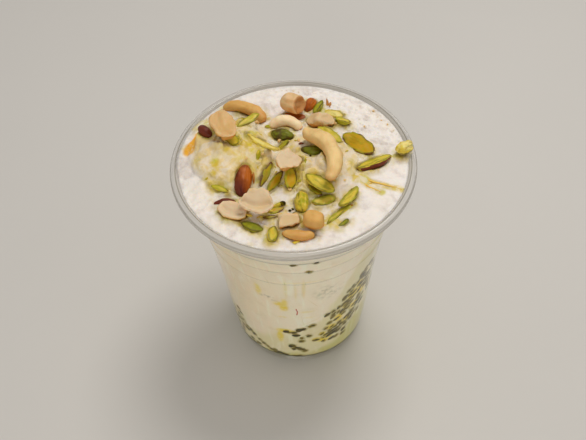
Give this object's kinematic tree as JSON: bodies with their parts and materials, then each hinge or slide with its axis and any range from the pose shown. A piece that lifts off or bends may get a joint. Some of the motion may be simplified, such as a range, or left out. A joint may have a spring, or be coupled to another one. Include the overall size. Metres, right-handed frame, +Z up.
{
  "type": "falooda",
  "caption": "Falooda in a clear plastic cup: vermicelli milk over basil seeds, topped with cream, ice cream and chopped cashews, pistachios and almonds.",
  "frame": {"origin": "middle of the cup's foot ring, on the table", "axes": "+Z up through the middle of the cup, -Y towards the viewer of the picture, +X to its right"},
  "size_m": [0.098, 0.098, 0.1159],
  "materials": {
    "clear_plastic": "clear, thin and glossy, moulded",
    "milk": "opaque sweet milk with pale vermicelli, seen through the cup",
    "basil_seeds": "soaked basil seeds, dark in clear yellowish jelly",
    "base_milk": "greenish-yellow milk with a few seeds",
    "cream": "soft whipped cream, matt",
    "ice_cream": "vanilla ice cream, satin, with yellow-green syrup stains",
    "cashew": "roasted cashew, satin",
    "pistachio": "green-gold pistachio kernel, satin",
    "almond_skin": "brown skin, satin"
  },
  "bodies": {
    "root": {"almond_dark_piece": "almond_skin", "almond_half_brown": "almond_skin", "almond_piece_back": "almond_skin", "almond_sliver_back": "almond_skin", "almond_tip_left": "almond_skin", "base_layer": "base_milk", "basil_seed_layer": "basil_seeds", "cashew_arched_middle": "cashew", "cashew_broken_right": "cashew", "cashew_curved_left": "cashew", "cashew_dome_front": "cashew", "cashew_flat_middle": "cashew", "cashew_half_left": "cashew", "cashew_low_front": "cashew", "cashew_roasted_back": "cashew", "cashew_round_front": "cashew", "cashew_split_front": "cashew", "cashew_wedge_front": "cashew", "cashew_whole_right": "cashew", "cream_top": "cream", "cup": "clear_plastic", "ice_cream_scoop_left": "ice_cream", "ice_cream_scoop_middle": "ice_cream", "milk_layer": "milk", "pistachio_behind_cashew": "pistachio", "pistachio_crumb_left": "pistachio", "pistachio_crumb_right": "pistachio", "pistachio_curved_right": "pistachio", "pistachio_dark_back": "pistachio", "pistachio_gold_front": "pistachio", "pistachio_gold_middle": "pistachio", "pistachio_gold_slanted": "pistachio", "pistachio_green_back": "pistachio", "pistachio_green_front": "pistachio", "pistachio_half_front": "pistachio", "pistachio_large_right": "pistachio", "pistachio_long_left": "pistachio", "pistachio_long_middle": "pistachio", "pistachio_low_right": "pistachio", "pistachio_olive_middle": "pistachio", "pistachio_on_lip": "pistachio", "pistachio_pale_back": "pistachio", "pistachio_shaving_arrow": "pistachio", "pistachio_shaving_left": "pistachio", "pistachio_shaving_long": "pistachio", "pistachio_shaving_right": "pistachio", "pistachio_slice_middle": "pistachio", "pistachio_slim": "pistachio", "pistachio_sliver_front": "pistachio", "pistachio_split_right": "pistachio", "pistachio_under_cashew": "pistachio", "pistachio_upright_back": "pistachio", "pistachio_whole_front": "pistachio"}
  },
  "joints": []
}
